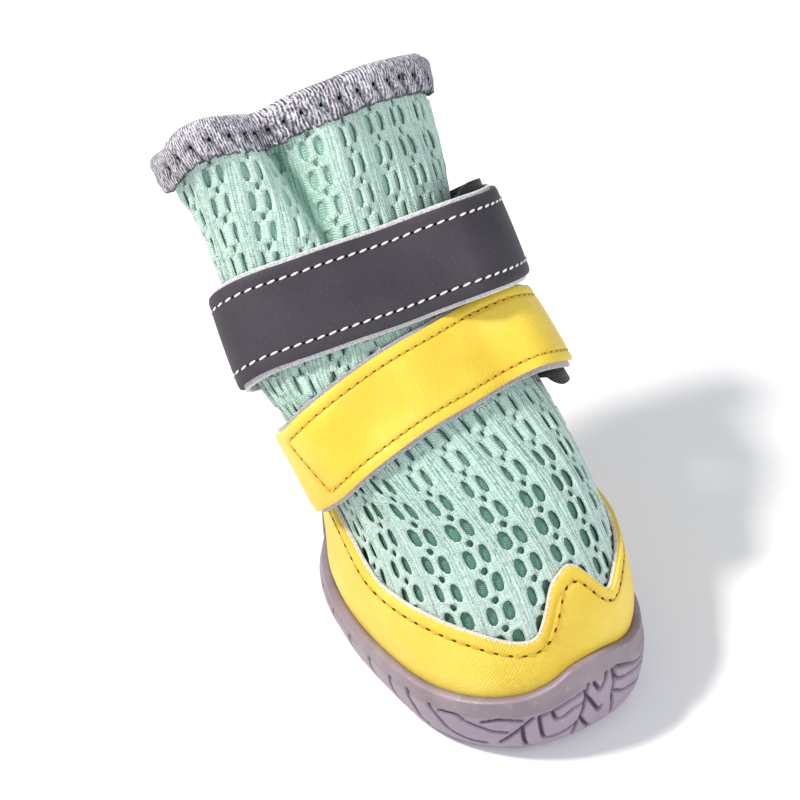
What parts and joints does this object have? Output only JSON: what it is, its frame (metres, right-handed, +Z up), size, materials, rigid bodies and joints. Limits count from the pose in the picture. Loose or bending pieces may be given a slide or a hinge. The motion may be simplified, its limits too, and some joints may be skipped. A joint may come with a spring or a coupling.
{
  "type": "dog boot",
  "caption": "Soft dog boot: a mesh sock in a cupped rubber sole, with a protective band round the toe and hook-and-loop straps over the instep and round the ankle.",
  "frame": {"origin": "on the floor, at the middle of the tread under the ball of the foot", "axes": "+Z up from the floor, -Y towards the toe, +X towards the boot's right side as seen from in front of the toe"},
  "size_m": [0.0691, 0.1077, 0.1125],
  "materials": {
    "sole_rubber": "moulded, satin",
    "insole_foam": "brushed cloth on foam",
    "mint_mesh": "open knitted mesh",
    "yellow_leather": "fine pebble grain, stitched",
    "grey_woven": "plain woven",
    "marled_knit": "marled rib knit",
    "reflective_tape": "coated, matte with a fine sparkle",
    "loop_felt": "brushed loop",
    "black_hook": "hook tape"
  },
  "bodies": {
    "root": {"outsole": "sole_rubber", "insole": "insole_foam", "upper": "mint_mesh", "rand": "yellow_leather", "heel_quarter": "grey_woven", "collar_binding": "marled_knit", "ankle_strap": "reflective_tape", "ankle_strap_backing": "loop_felt", "ankle_hook_tab": "black_hook", "instep_strap": "yellow_leather", "instep_strap_backing": "loop_felt", "instep_hook_tab": "black_hook"}
  },
  "joints": []
}
